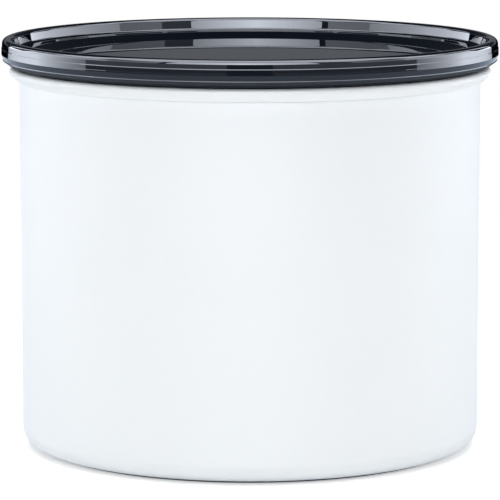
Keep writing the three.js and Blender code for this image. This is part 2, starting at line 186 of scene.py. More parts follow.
def dress(piece, material, body, node):
    piece.data.materials.clear()
    piece.data.materials.append(material)
    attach(piece, body)
    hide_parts(node)
    return piece


# One output socket of a node tree. Arithmetic on it adds Math nodes.
class Wire:
    def __init__(self, tree, socket=None):
        self.tree = tree
        self.socket = socket

    # Adds a node: its settings come first, then the values or links of its sockets.
    def node(self, kind, settings=None, sockets=None, out=0):
        made = self.tree.nodes.new(kind)
        for name, value in (settings or {}).items():
            setattr(made, name, value)
        for name, value in (sockets or {}).items():
            if isinstance(value, Wire):
                self.tree.links.new(value.socket, made.inputs[name])
            else:
                made.inputs[name].default_value = value
        return Wire(self.tree, made.outputs[out] if made.outputs else None)

    def math(self, operation, *values):
        return self.node("ShaderNodeMath", {"operation": operation}, dict(enumerate(values)))

    def __add__(self, other):
        return self.math("ADD", self, other)

    def __radd__(self, other):
        return self.math("ADD", other, self)

    def __sub__(self, other):
        return self.math("SUBTRACT", self, other)

    def __rsub__(self, other):
        return self.math("SUBTRACT", other, self)

    def __mul__(self, other):
        return self.math("MULTIPLY", self, other)

    def __rmul__(self, other):
        return self.math("MULTIPLY", other, self)

    # 0 below low, 1 above high, smooth between.
    def ease(self, low, high):
        settings = {"interpolation_type": "SMOOTHSTEP"}
        return self.node("ShaderNodeMapRange", settings, {"Value": self, "From Min": low, "From Max": high})

    def noise(self, scale, detail=2, stretch=(1, 1, 1)):
        place = self.node("ShaderNodeTexCoord", out="Object")
        place = self.node("ShaderNodeMapping", {}, {"Vector": place, "Scale": stretch})
        return self.node("ShaderNodeTexNoise", {}, {"Vector": place, "Scale": scale, "Detail": detail})

    # Mixes two colours; sockets 0, 6 and 7 are the factor and the colours.
    def blend(self, factor, first, second):
        sockets = {0: factor, 6: (*first, 1), 7: (*second, 1)}
        return self.node("ShaderNodeMix", {"data_type": "RGBA"}, sockets, out=2)

    def bump(self, height, strength, depth):
        sockets = {"Height": height, "Strength": strength, "Distance": depth * mm}
        return self.node("ShaderNodeBump", {}, sockets)


def startMaterial(name):
    material = bpy.data.materials.new(name)
    material.use_nodes = True
    material.node_tree.nodes.clear()
    return material, Wire(material.node_tree)


def shade(graph, sockets):
    surface = graph.node("ShaderNodeBsdfPrincipled", {}, sockets)
    graph.node("ShaderNodeOutputMaterial", {}, {"Surface": surface})


# White powder coat: an even white with a faint orange peel.
def powderCoat():
    material, graph = startMaterial("whitePowderCoat")
    cloud = graph.noise(22, 3)
    peel = graph.noise(1100, 2)
    shade(graph, {
        "Base Color": graph.blend(cloud, (0.835, 0.856, 0.858), (0.865, 0.882, 0.88)),
        "Roughness": 0.45 + 0.12 * peel,
        "Specular IOR Level": 0.3,
        "Normal": graph.bump(peel, 0.12, 0.05),
    })
    return material


# Drawn steel: fine lines round the wall, from noise squeezed along Z.
def brushedSteel(name, stretch):
    material, graph = startMaterial(name)
    lines = graph.noise(1, 4, stretch)
    cloud = graph.noise(30, 2)
    shade(graph, {
        "Base Color": graph.blend(lines, (0.5, 0.51, 0.53), (0.7, 0.71, 0.72)),
        "Metallic": 1.0,
        "Roughness": 0.24 + 0.16 * lines + 0.06 * cloud,
        "Normal": graph.bump(lines, 0.15, 0.02),
    })
    return material


# Smoked plastic: polished, and tinted so deep that it reads as blue black, with dull specks of dust.
def smokedPlastic():
    material, graph = startMaterial("smokedPlastic")
    smear = graph.noise(35, 3)
    speck = graph.noise(900, 1)
    place = graph.node("ShaderNodeTexCoord", out="Object")
    level = graph.node("ShaderNodeSeparateXYZ", {}, {"Vector": place}, out="Z")
    lowerEdge = 99.5 * mm  # the mould's texture is left on below this level
    satin = 0.85 * (1 - level.ease(lowerEdge, lowerEdge + 0.1 * mm))
    shade(graph, {
        "Base Color": graph.blend(smear, (0.0018, 0.0036, 0.0078), (0.0026, 0.0046, 0.0092)),
        "Roughness": 0.01 + 0.015 * smear.ease(0.5, 0.75) + 0.5 * speck.ease(0.8, 0.83) + satin,
        "IOR": 1.52,
    })
    return material


# Black moulded plastic with a fine spark-eroded texture.
def mouldedBlack():
    material, graph = startMaterial("mouldedBlack")
    grain = graph.noise(2600, 3)
    cloud = graph.noise(40, 3)
    shade(graph, {
        "Base Color": graph.blend(cloud, (0.017, 0.018, 0.02), (0.026, 0.027, 0.03)),
        "Roughness": 0.42 + 0.2 * grain,
        "Normal": graph.bump(grain, 0.3, 0.05),
    })
    return material


# Soft grey silicone with a dusty surface.
def greySilicone():
    material, graph = startMaterial("greySilicone")
    dust = graph.noise(160, 4)
    grain = graph.noise(1800, 2)
    shade(graph, {
        "Base Color": graph.blend(dust, (0.25, 0.265, 0.28), (0.31, 0.325, 0.34)),
        "Roughness": 0.55 + 0.2 * dust,
        "Sheen Weight": 0.15,
        "Normal": graph.bump(grain, 0.15, 0.03),
    })
    return material


# Dark rubber, matte and slightly grainy. Its darkness is painted shadow: seen under the base, it makes the
# thin dark line of contact shadow.
def padRubberPaintedShadow():
    material, graph = startMaterial("padRubberPaintedShadow")
    grain = graph.noise(1500, 3)
    cloud = graph.noise(50, 3)
    shade(graph, {
        "Base Color": graph.blend(cloud, (0.045, 0.05, 0.055), (0.065, 0.07, 0.075)),
        "Roughness": 0.75 + 0.15 * grain,
        "Normal": graph.bump(grain, 0.3, 0.08),
    })
    return material


whiteCoat = powderCoat()
wallSteel = brushedSteel("wallSteel", (25, 25, 5000))
smallSteel = brushedSteel("smallSteel", (900, 900, 900))
lidPlastic = smokedPlastic()
blackPlastic = mouldedBlack()
silicone = greySilicone()
# The pad's dark rubber is painted shadow under the base.
padPaintedShadow = padRubberPaintedShadow()
print("finishes: 7 materials")

# Canister: one steel sheet, coated outside from the mouth down to the middle of the base.
canister = {
    "beadReach": 2.65,
    "sheet": 0.7,
    "floorThickness": 0.8,
    "baseCorner": 4.6,
    "footRing": 0.35,
    "beadFace": 1.55,  # upright side of the bead
    "taperRise": 2.05,
    "beadRound": 1.3,
    "mouthRound": 1.4,
    "taperRound": 1.2,
    "gap": 0.3,
    "coat": 0.1,
    "steelDepth": 0.12,  # face of the steel below the face of the coat
    "coatDepth": 2.2,  # how far the coat runs down inside the mouth
}


def buildCanister(size):
    beadOuter, foot, beadTop = reach("canister_shell")
    padTop = reach("base_pad")[2]
    wall = beadOuter - size["beadReach"]
    inner = wall - size["sheet"]
    recess = padTop + size["gap"]
    recessRadius = wall - size["baseCorner"] - size["footRing"]
    edge = wall + size["gap"]
    beadFoot = beadTop - size["beadFace"] - size["taperRise"]
    slope = size["taperRise"] / (beadOuter - edge)
    lift = size["sheet"] * math.hypot(1, slope)
    rollOuter = beadOuter - size["sheet"]
    rollTop = beadTop - size["sheet"]
    coatEnd = beadTop - size["mouthRound"] - size["coatDepth"]
    outside = roundOutline([
        (0, recess),
        (recessRadius, recess, 0.4),
        (recessRadius, foot, 0.15),
        (wall, foot, size["baseCorner"]),
        (wall, rollTop, size["mouthRound"] - size["sheet"]),
        (rollOuter, rollTop, size["beadRound"] - size["sheet"]),
        (rollOuter, beadFoot + slope * (rollOuter - edge) + lift, size["taperRound"] - size["sheet"]),
        (edge, beadFoot + lift, 0.3),
        (edge, beadFoot, 0.3),
        (beadOuter, beadFoot + size["taperRise"], size["taperRound"]),
        (beadOuter, beadTop, size["beadRound"]),
        (inner, beadTop, size["mouthRound"]),
        (inner, coatEnd),
    ], steps=10)
    points, normals = outside
    behind = points - size["coat"] * normals
    skin = np.concatenate([points, behind[::-1]]), np.concatenate([normals, -normals[::-1]])
    coat = lathe("canisterCoat", skin)
    dress(coat, whiteCoat, "canister", "canister_shell")
    floor = recess + size["floorThickness"]
    inside = roundOutline([
        (inner + size["coat"], coatEnd),
        (inner, coatEnd - size["coat"], 0.05),
        (inner, floor, size["baseCorner"] - size["sheet"]),
        (0, floor),
    ], steps=10)
    core = points - size["steelDepth"] * normals
    core[0, 0] = 0
    steel = lathe("canisterSteel", (
        np.concatenate([core, inside[0]]),
        np.concatenate([normals, inside[1]]),
    ))
    dress(steel, wallSteel, "canister", "canister_shell")


buildCanister(canister)
print("canister: coat and steel")

# Base pad: a dark rubber disc with a tread ring, cut by fine round grooves. It is painted shadow: its dark
# edge under the base stands in for the contact shadow there.
pad = {"treadWidth": 9.5, "relief": 0.35, "grooves": 4, "grooveWidth": 0.7, "grooveDepth": 0.3}


def buildPad(size):
    radius, bottom, top = reach("base_pad")
    treadInner = radius - size["treadWidth"]
    pitch = size["treadWidth"] / (size["grooves"] + 1)
    outline = [
        (0, size["relief"]),
        (treadInner - size["relief"], size["relief"]),
        (treadInner, bottom, 0.15),
    ]
    for i in range(size["grooves"]):
        middle = treadInner + pitch * (i + 1)
        half = size["grooveWidth"] / 2
        outline += [
            (middle - half, bottom, 0.12),
            (middle - half / 2, bottom + size["grooveDepth"], 0.1),
            (middle + half / 2, bottom + size["grooveDepth"], 0.1),
            (middle + half, bottom, 0.12),
        ]
    outline += [(radius, bottom, 0.25), (radius, top, 0.15), (0, top)]
    dress(lathe("basePad", roundOutline(outline)), padPaintedShadow, "canister", "base_pad")


buildPad(pad)
print("base pad")

# Top lid: smoked plastic with a plug ring, a band with two fine ledges, a rounded crest, and a centre
# panel that stands in a dished moat.
lid = {
    "brow": 2.0,  # how far the band stands out past the bead
    "rimWidth": 3.0,
    "seatDepth": 7.0,  # crest down to the lid's seat
    "panelDepth": 4.15,
    "moatDepth": 5.1,
    "panelThickness": 2.3,
    "panelInset": 17.1,
    "panelSlope": 0.7,
    "faceRise": 1.45,
    "faceDraft": 0.3,
    "undercutRise": 1.05,
    "lipReach": 0.25,
    "lipRise": 0.6,
    "seatInset": 1.1,
    "crestOuterRound": 1.25,
    "crestInnerRound": 1.0,
    "wallDepth": 3.0,  # the rim's inner wall, from the crest down to its foot
    "wallDraft": 0.57,
    "wallFootRound": 0.6,
    "shelfReach": 3.4,  # a gentle shelf inside the wall, then a steeper dish down to the moat
    "shelfDrop": 0.37,
    "dishReach": 3.8,
    "dishRound": 2.0,
    "plugThickness": 1.6,
    "plugGap": 0.95,
    "ledgeDrop": 2.4,  # upper ledge below the crest
    "ledgeWidth": 0.13,
    "ledgeRise": 0.15,
    "bandDraft": 0.04,  # lean of the band above its ledge
    "faceTop": 0.35,  # upright stretch above the lower face, up to a faint step
    "swell": 0.011,  # height of that step
    "swellRise": 0.13,
}


def buildLid(size):
    radius, plugBottom, crest = reach("top_lid")
    beadOuter = radius - size["brow"]
    mouth = beadOuter - canister["beadReach"] - canister["sheet"]
    plugOuter = mouth - size["plugGap"]
    plugInner = plugOuter - size["plugThickness"]
    moat = crest - size["moatDepth"]
    seat = crest - size["seatDepth"]
    panelTop = crest - size["panelDepth"]
    panelUnder = panelTop - size["panelThickness"]
    rimInner = radius - size["rimWidth"]
    wallFoot = rimInner - size["wallDraft"]
    shelf = wallFoot - size["shelfReach"]
    panel = rimInner - size["panelInset"]
    panelFoot = panel + size["panelSlope"]
    seatOuter = beadOuter - size["seatInset"]
    lip = seat + size["lipRise"]
    edge = lip + size["undercutRise"]
    face = edge + size["faceRise"]
    edgeOuter = radius - size["faceDraft"]
    ledge = crest - size["ledgeDrop"]
    band = radius - size["swell"]
    outline = [
        (0, panelUnder),
        (panel, panelUnder, 0.3),
        (panelFoot, seat, 0.3),
        (plugInner, seat, 0.6),
        (plugInner, plugBottom, 0.5),
        (plugOuter, plugBottom, 0.5),
        (plugOuter, seat, 0.3),
        (seatOuter, seat, 0.2),
        (seatOuter, lip, 0.2),
        (beadOuter + size["lipReach"], lip, 0.12),
        (edgeOuter, edge, 0.06),
        (edgeOuter - size["ledgeWidth"], edge + size["ledgeRise"], 0.06),
        (radius, face, 0.5),
        (radius, face + size["faceTop"], 0.1),
        (band, face + size["faceTop"] + size["swellRise"], 0.1),
        (band, ledge, 0.05),
        (band - size["ledgeWidth"], ledge + size["ledgeRise"], 0.06),
        (band - size["ledgeWidth"] - size["bandDraft"], crest, size["crestOuterRound"]),
        (rimInner, crest, size["crestInnerRound"]),
        (wallFoot, crest - size["wallDepth"], size["wallFootRound"]),
        (shelf, crest - size["wallDepth"] - size["shelfDrop"], size["dishRound"]),
        (shelf - size["dishReach"], moat, size["dishRound"]),
        (panelFoot, moat, 0.3),
        (panel, panelTop, 0.25),
        (0, panelTop),
    ]
    piece = lathe("topLid", roundOutline(outline, steps=9), segments=384)
    dress(piece, lidPlastic, "top_lid", "top_lid")


buildLid(lid)
print("top lid")

# Inner lid plate: a tray with a skirt, a valve cup, ribs below and two lugs for the handle's pins.
plate = {
    "thickness": 2.2,
    "lipHeight": 1.5,
    "lipWidth": 1.6,
    "skirtSetback": 3.1,
    "skirtThickness": 2.2,
    "pivotRise": 5.5,
    "lugRadius": 4.2,
    "lugStart": 32.3,
    "lugThickness": 4.0,
    "lugFoot": 2.2,  # flare of a lug where it meets the plate
    "lugEdge": 0.1,  # upright edge of that flare
    "lugBury": 1.0,  # how far a lug runs down into the plate
    "pinHole": 1.7,
    "cupRadius": 7.2,
    "cupWall": 1.6,
    "cupFloor": 1.6,
    "seatGap": 0.3,  # valve seal up to the seat under the cup
    "guideRadius": 2.3,
    "guideWall": 1.3,
    "guideHeight": 1.5,
    "vents": 5,
    "ventRadius": 1.1,
    "ribs": 8,
    "ribThickness": 1.4,
    "ribDepth": 4.0,
    "ribBury": 0.5,  # how far a rib runs into the plate, the cup and the skirt
    "drillSpare": 1.0,  # how far a drill runs past what it cuts
}


# A flat outline (y, z) thickened along X, its two rims rounded: the outline draws in by
# edge - sqrt(edge^2 - s^2) over the last stretch s of the thickness.
def slabAlongX(name, outline, start, end, edge=0.5, steps=6):
    points, normals = outline
    bend = np.linspace(-math.pi / 2, 0, steps + 1)
    along = np.concatenate([start + edge + edge * np.sin(bend), (end - edge - edge * np.sin(bend))[::-1]])
    drawnIn = np.concatenate([edge - edge * np.cos(bend), (edge - edge * np.cos(bend))[::-1]])
    sections = points[None] - drawnIn[:, None, None] * normals[None]
    path = np.stack([along, np.zeros_like(along), np.zeros_like(along)], axis=-1)
    side = np.tile([0.0, 1, 0], (len(along), 1))
    rise = np.tile([0.0, 0, 1], (len(along), 1))
    return sweep(name, sections, path, side, rise)


def buildPlate(size):
    radius, skirtBottom, lugTop = reach("inner_lid_plate")
    valveSeat = reach("valve_seal")[2] + size["seatGap"]
    pivot = lugTop - size["lugRadius"]
    top = pivot - size["pivotRise"]
    under = top - size["thickness"]
    skirtOuter = radius - size["skirtSetback"]
    skirtInner = skirtOuter - size["skirtThickness"]
    cupFloor = valveSeat + size["cupFloor"]
    cupOuter = size["cupRadius"] + size["cupWall"]
    guideOuter = size["guideRadius"] + size["guideWall"]
    guideTop = cupFloor + size["guideHeight"]
    lipInner = radius - size["lipWidth"]
    lipTop = top + size["lipHeight"]
    tray = lathe("innerLidPlate", roundOutline([
        (size["guideRadius"], valveSeat, 0.2),
        (cupOuter, valveSeat, 0.3),
        (cupOuter, under, 0.6),
        (skirtInner, under, 0.6),
        (skirtInner, skirtBottom, 0.4),
        (skirtOuter, skirtBottom, 0.3),
        (skirtOuter, under, 0.3),
        (radius, under, 0.3),
        (radius, lipTop, 0.6),
        (lipInner, lipTop, 0.6),
        (lipInner, top, 0.8),
        (size["cupRadius"], top, 0.5),
        (size["cupRadius"], cupFloor, 0.5),
        (guideOuter, cupFloor, 0.3),
        (guideOuter, guideTop, 0.2),
        (size["guideRadius"], guideTop, 0.2),
    ], closed=True, steps=5), closed=True, segments=192)
    half = size["lugRadius"]
    foot = half + size["lugFoot"]
    buried = top - size["lugBury"]
    flare = top + size["lugEdge"]
    lugOutline = roundOutline([
        (-foot, buried),
        (foot, buried),
        (foot, flare),
        (half, flare, size["lugFoot"]),
        (half, lugTop, half),
        (-half, lugTop, half),
        (-half, flare, size["lugFoot"]),
        (-foot, flare),
    ], closed=True, steps=12)
    lugEnd = size["lugStart"] + size["lugThickness"]
    parts = [
        slabAlongX("lugRight", lugOutline, size["lugStart"], lugEnd),
        slabAlongX("lugLeft", lugOutline, -lugEnd, -size["lugStart"]),
    ]
    ribStart = cupOuter - size["ribBury"]
    ribEnd = skirtInner + size["ribBury"]
    ribTop = under + size["ribBury"]
    ribSide = roundOutline([
        (ribStart, ribTop),
        (ribStart, under - size["ribDepth"]),
        (ribEnd, under - size["ribDepth"] / 2),
        (ribEnd, ribTop),
    ], closed=True, steps=2)
    for i in range(size["ribs"]):
        rib = slabAlongX(f"rib{i}", ribSide, -size["ribThickness"] / 2, size["ribThickness"] / 2, 0.2, 3)
        rib.rotation_euler.z = turn * (i + 0.5) / size["ribs"]
        parts.append(rib)
    combine(tray, "UNION", parts)
    drillEnd = lugEnd + size["drillSpare"]
    drill = barAlongX("pinDrill", size["pinHole"], -drillEnd, drillEnd, pivot)
    ventCentre = (guideOuter + size["cupRadius"]) / 2
    ventBottom = valveSeat - size["drillSpare"]
    ventTop = cupFloor + size["drillSpare"]
    ventOutline = roundOutline([
        (0, ventBottom),
        (size["ventRadius"], ventBottom),
        (size["ventRadius"], ventTop),
        (0, ventTop),
    ], steps=1)
    cutters = [drill]
    for i in range(size["vents"]):
        vent = lathe(f"vent{i}", ventOutline, segments=32)
        angle = turn * i / size["vents"]
        vent.location = (ventCentre * mm * math.cos(angle), ventCentre * mm * math.sin(angle), 0)
        cutters.append(vent)
    combine(tray, "DIFFERENCE", cutters)
    cleanShading(tray)
    dress(tray, blackPlastic, "inner_lid", "inner_lid_plate")


buildPlate(plate)
print("inner lid plate")

# Gasket: a silicone ring whose lips lean up and out to the wall.
gasket = {
    "bodyWidth": 2.1,
    "lipReach": 1.95,
    "lips": 2,
    "lipThickness": 1.1,
    "lipRise": 1.6,
    "firstLip": 0.2,  # start of a lip in its stretch of the body, as a share
}


def buildGasket(size):
    tip, bottom, top = reach("wiper_gasket")
    back = tip - size["lipReach"]
    inner = back - size["bodyWidth"]
    pitch = (top - bottom) / size["lips"]
    outline = [(inner, bottom, 0.3), (back, bottom, 0.3)]
    for i in range(size["lips"]):
        root = bottom + pitch * (i + size["firstLip"])
        outline += [
            (back, root, 0.35),
            (tip, root + size["lipRise"], 0.22),
            (tip, root + size["lipRise"] + size["lipThickness"] / 2, 0.22),
            (back, root + size["lipThickness"], 0.5),
        ]
    outline += [(back, top, 0.3), (inner, top, 0.3)]
    ring = lathe("wiperGasket", roundOutline(outline, closed=True, steps=6), closed=True)
    dress(ring, silicone, "inner_lid", "wiper_gasket")


buildGasket(gasket)

# Cover: a disc that closes the inner lid from below, with a spigot inside the skirt.
cover = {"thickness": 2.0, "hole": 10.6, "spigotOuter": 51.0, "spigotThickness": 1.6}


def buildCover(size):
    radius, bottom, spigotTop = reach("inner_lid_cover")
    top = bottom + size["thickness"]
    spigotInner = size["spigotOuter"] - size["spigotThickness"]
    outline = roundOutline([
        (size["hole"], bottom, 0.6),
        (radius, bottom, 0.7),
        (radius, top, 0.25),
        (size["spigotOuter"], top, 0.2),
        (size["spigotOuter"], spigotTop, 0.4),
        (spigotInner, spigotTop, 0.4),
        (spigotInner, top, 0.4),
        (size["hole"], top, 0.3),
    ], closed=True)
    piece = lathe("innerLidCover", outline, closed=True)
    dress(piece, blackPlastic, "inner_lid", "inner_lid_cover")


buildCover(cover)
print("gasket and cover")

# Handle: a bent rod on a bar, with a cam in the middle that presses the valve.
handle = {
    "rod": 3.0,
    "halfWidth": 29.0,
    "reach": 26.0,
    "corner": 15.0,
    "camBase": 3.6,
    "camTravel": 2.0,
    "camHalf": 4.5,
    "pinHole": 1.7,
    "pinDepth": 6.3,
    "drillSpare": 1.0,
    "barEdge": 0.5,
    "camEdge": 0.4,
    "voxel": 0.3,  # the joined pieces melt into one skin at this size, which is then smoothed
    "smoothing": 0.5,
    "smoothPasses": 6,
}


# The rod's centre line: a leg, a quarter circle, the grip, a quarter circle and a leg.
def bailPath(size):
    far = size["reach"] - size["rod"]
    turnIn = size["halfWidth"] - size["corner"]
    turnOut = far - size["corner"]
    angle = np.linspace(math.pi, 1.5 * math.pi, 24)
    bendX = -turnIn + size["corner"] * np.cos(angle)
    bendY = -turnOut + size["corner"] * np.sin(angle)
    legY = np.linspace(0, -turnOut, 6)[:-1]
    legX = np.full_like(legY, -size["halfWidth"])
    halfX = np.concatenate([legX, bendX])
    halfY = np.concatenate([legY, bendY])
    return np.stack([np.concatenate([halfX, -halfX[::-1]]), np.concatenate([halfY, halfY[::-1]])], axis=-1)


# Cam face: the involute whose distance to a flat face grows evenly as the handle turns.
def camOutline(size):
    rate = size["camTravel"] / (math.pi / 2)
    angle = np.linspace(0, math.pi / 2, 24)
    grown = size["camBase"] + rate * angle
    face = np.stack([
        grown * np.sin(angle) + rate * np.cos(angle),
        -grown * np.cos(angle) + rate * np.sin(angle),
    ], axis=-1)
    outline = np.concatenate([face, [[0, size["rod"]], [0, -size["rod"]]]])
    ahead = np.roll(outline, -1, axis=0) - np.roll(outline, 1, axis=0)
    ahead /= np.linalg.norm(ahead, axis=1)[:, None]
    return outline, np.stack([ahead[:, 1], -ahead[:, 0]], axis=-1)


def buildHandle(size):
    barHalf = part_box("bail_handle")[1].x / mm
    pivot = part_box("handle_pin_right")[1].z / mm - pin["headRadius"]
    flat = bailPath(size)
    ahead = np.gradient(flat, axis=0)
    ahead /= np.linalg.norm(ahead, axis=1)[:, None]
    path = np.concatenate([flat, np.full((len(flat), 1), pivot)], axis=1)
    side = np.stack([ahead[:, 1], -ahead[:, 0], np.zeros(len(flat))], axis=-1)
    rise = np.tile([0.0, 0, 1], (len(flat), 1))
    angle = np.linspace(0, turn, 40, endpoint=False)
    ring = size["rod"] * np.stack([np.cos(angle), np.sin(angle)], axis=-1)
    piece = sweep("bailHandle", np.tile(ring, (len(flat), 1, 1)), path, side, rise)
    bar = slabAlongX("bar", (ring + [0, pivot], ring / size["rod"]), -barHalf, barHalf, size["barEdge"])
    face, normals = camOutline(size)
    half = size["camHalf"]
    cam = slabAlongX("cam", (face + [0, pivot], normals), -half, half, size["camEdge"])
    combine(piece, "UNION", [bar, cam])
    inner = barHalf - size["pinDepth"]
    outer = barHalf + size["drillSpare"]
    drills = [
        barAlongX("drillRight", size["pinHole"], inner, outer, pivot),
        barAlongX("drillLeft", size["pinHole"], -outer, -inner, pivot),
    ]
    combine(piece, "DIFFERENCE", drills)
    melt = piece.modifiers.new("melt", "REMESH")
    melt.mode = "VOXEL"
    melt.voxel_size = size["voxel"] * mm
    soften = piece.modifiers.new("soften", "SMOOTH")
    soften.factor = size["smoothing"]
    soften.iterations = size["smoothPasses"]
    applyModifiers(piece)
    piece.data.shade_smooth()
    dress(piece, blackPlastic, "handle", "bail_handle")


# Handle pins: headed steel pins through the lugs into the bar.
pin = {"radius": 1.5, "headRadius": 2.6, "headThickness": 1.0}


# A pin is turned about Z and laid along X: (x, y, z) becomes (side * z, side * y, level - x).
def buildPin(name, node, size, side):
    low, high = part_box(node)
    near = min(abs(low.x), abs(high.x)) / mm
    far = max(abs(low.x), abs(high.x)) / mm
    level = (low.z + high.z) / 2
    head = far - size["headThickness"]
    piece = lathe(name, roundOutline([
        (0, near),
        (size["radius"], near, 0.3),
        (size["radius"], head, 0.1),
        (size["headRadius"], head, 0.1),
        (size["headRadius"], far, 0.5),
        (0, far),
    ]), segments=64)
    along = np.empty(len(piece.data.vertices) * 3)
    piece.data.vertices.foreach_get("co", along)
    along = along.reshape(-1, 3)
    turned = np.stack([side * along[:, 2], side * along[:, 1], level - along[:, 0]], axis=-1)
    piece.data.vertices.foreach_set("co", turned.ravel())
    piece.data.update()
    cleanShading(piece)
    dress(piece, smallSteel, "inner_lid", node)


buildHandle(handle)
buildPin("handlePinRight", "handle_pin_right", pin, 1)
buildPin("handlePinLeft", "handle_pin_left", pin, -1)
print("handle and pins")

# Air valve: stem, seal, backing disc, clip and spring.
valve = {
    "stemRadius": 2.0,
    "headThickness": 1.7,
    "grooveDepth": 0.6,
    "tipLength": 0.9,
    "grooveHeight": 1.4,
    "bore": 2.3,  # hole in the seal and in the backing disc
    "sealRound": 0.3,
    "discRound": 0.12,
    "clipInner": 1.7,
    "clipOpening": 60,  # degrees
    "clipRound": 0.15,
    "springTurns": 4.5,
    "wire": 0.45,
    "stroke": 2.0,
}


def buildStem(size):
    headRadius, tip, top = reach("valve_stem")
    grooveBottom = tip + size["tipLength"]
    grooveTop = grooveBottom + size["grooveHeight"]
    neck = size["stemRadius"] - size["grooveDepth"]
    under = top - size["headThickness"]
    stem = lathe("valveStem", roundOutline([
        (0, tip),
        (size["stemRadius"], tip, 0.45),
        (size["stemRadius"], grooveBottom, 0.1),
        (neck, grooveBottom, 0.1),
        (neck, grooveTop, 0.1),
        (size["stemRadius"], grooveTop, 0.1),
        (size["stemRadius"], under, 0.4),
        (headRadius, under, 0.3),
        (headRadius, top, 0.5),
        (0, top),
    ]), segments=96)
    dress(stem, blackPlastic, "valve", "valve_stem")


# A flat ring with its four edges rounded alike.
def buildWasher(name, node, material, bore, edge):
    outer, bottom, top = reach(node)
    ring = lathe(name, roundOutline([
        (bore, bottom, edge),
        (outer, bottom, edge),
        (outer, top, edge),
        (bore, top, edge),
    ], closed=True), closed=True, segments=128)
    dress(ring, material, "valve", node)


# The clip carries a flat section round an open circle: the middle line is (R cos a, R sin a).
def buildClip(size):
    outer, bottom, top = reach("stem_clip")
    opening = math.radians(size["clipOpening"])
    angle = np.linspace(math.pi / 2 + opening / 2, math.pi / 2 + turn - opening / 2, 96)
    middle = (outer + size["clipInner"]) / 2
    half = (outer - size["clipInner"]) / 2
    rise = (top - bottom) / 2
    edge = size["clipRound"]
    section, _ = roundOutline([
        (-half, -rise, edge),
        (half, -rise, edge),
        (half, rise, edge),
        (-half, rise, edge),
    ], closed=True, steps=4)
    out = np.stack([np.cos(angle), np.sin(angle), np.zeros_like(angle)], axis=-1)
    path = middle * out + [0, 0, (top + bottom) / 2]
    up = np.tile([0.0, 0, 1], (len(angle), 1))
    clip = sweep("stemClip", np.tile(section, (len(angle), 1, 1)), path, out, up)
    cleanShading(clip)
    dress(clip, smallSteel, "valve", "stem_clip")


# The spring carries a round wire up a helix: (R cos a, R sin a, bottom + climb * a).
def buildSpring(size):
    low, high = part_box("valve_spring")
    radius = high.x / mm - size["wire"]
    bottom = low.z / mm + size["wire"]
    top = high.z / mm - size["wire"]
    steps = int(size["springTurns"] * 48)
    angle = np.linspace(0, turn * size["springTurns"], steps)
    climb = (top - bottom) / angle[-1]
    out = np.stack([np.cos(angle), np.sin(angle), np.zeros(steps)], axis=-1)
    path = radius * out + np.stack([np.zeros(steps), np.zeros(steps), bottom + climb * angle], axis=-1)
    ahead = np.stack([-radius * np.sin(angle), radius * np.cos(angle), np.full(steps, climb)], axis=-1)
    ahead /= np.linalg.norm(ahead, axis=1)[:, None]
    around = np.linspace(0, turn, 14, endpoint=False)
    section = size["wire"] * np.stack([np.cos(around), np.sin(around)], axis=-1)
    spring = sweep("valveSpring", np.tile(section, (steps, 1, 1)), path, out, np.cross(ahead, out) * -1)
    cleanShading(spring)
    dress(spring, smallSteel, "inner_lid", "valve_spring")
    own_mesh(spring)


buildStem(valve)
buildWasher("valveSeal", "valve_seal", silicone, valve["bore"], valve["sealRound"])
buildWasher(
    "valveBackingDisc", "valve_backing_disc", smallSteel, valve["bore"], valve["discRound"],
)
buildClip(valve)
buildSpring(valve)
print("air valve")

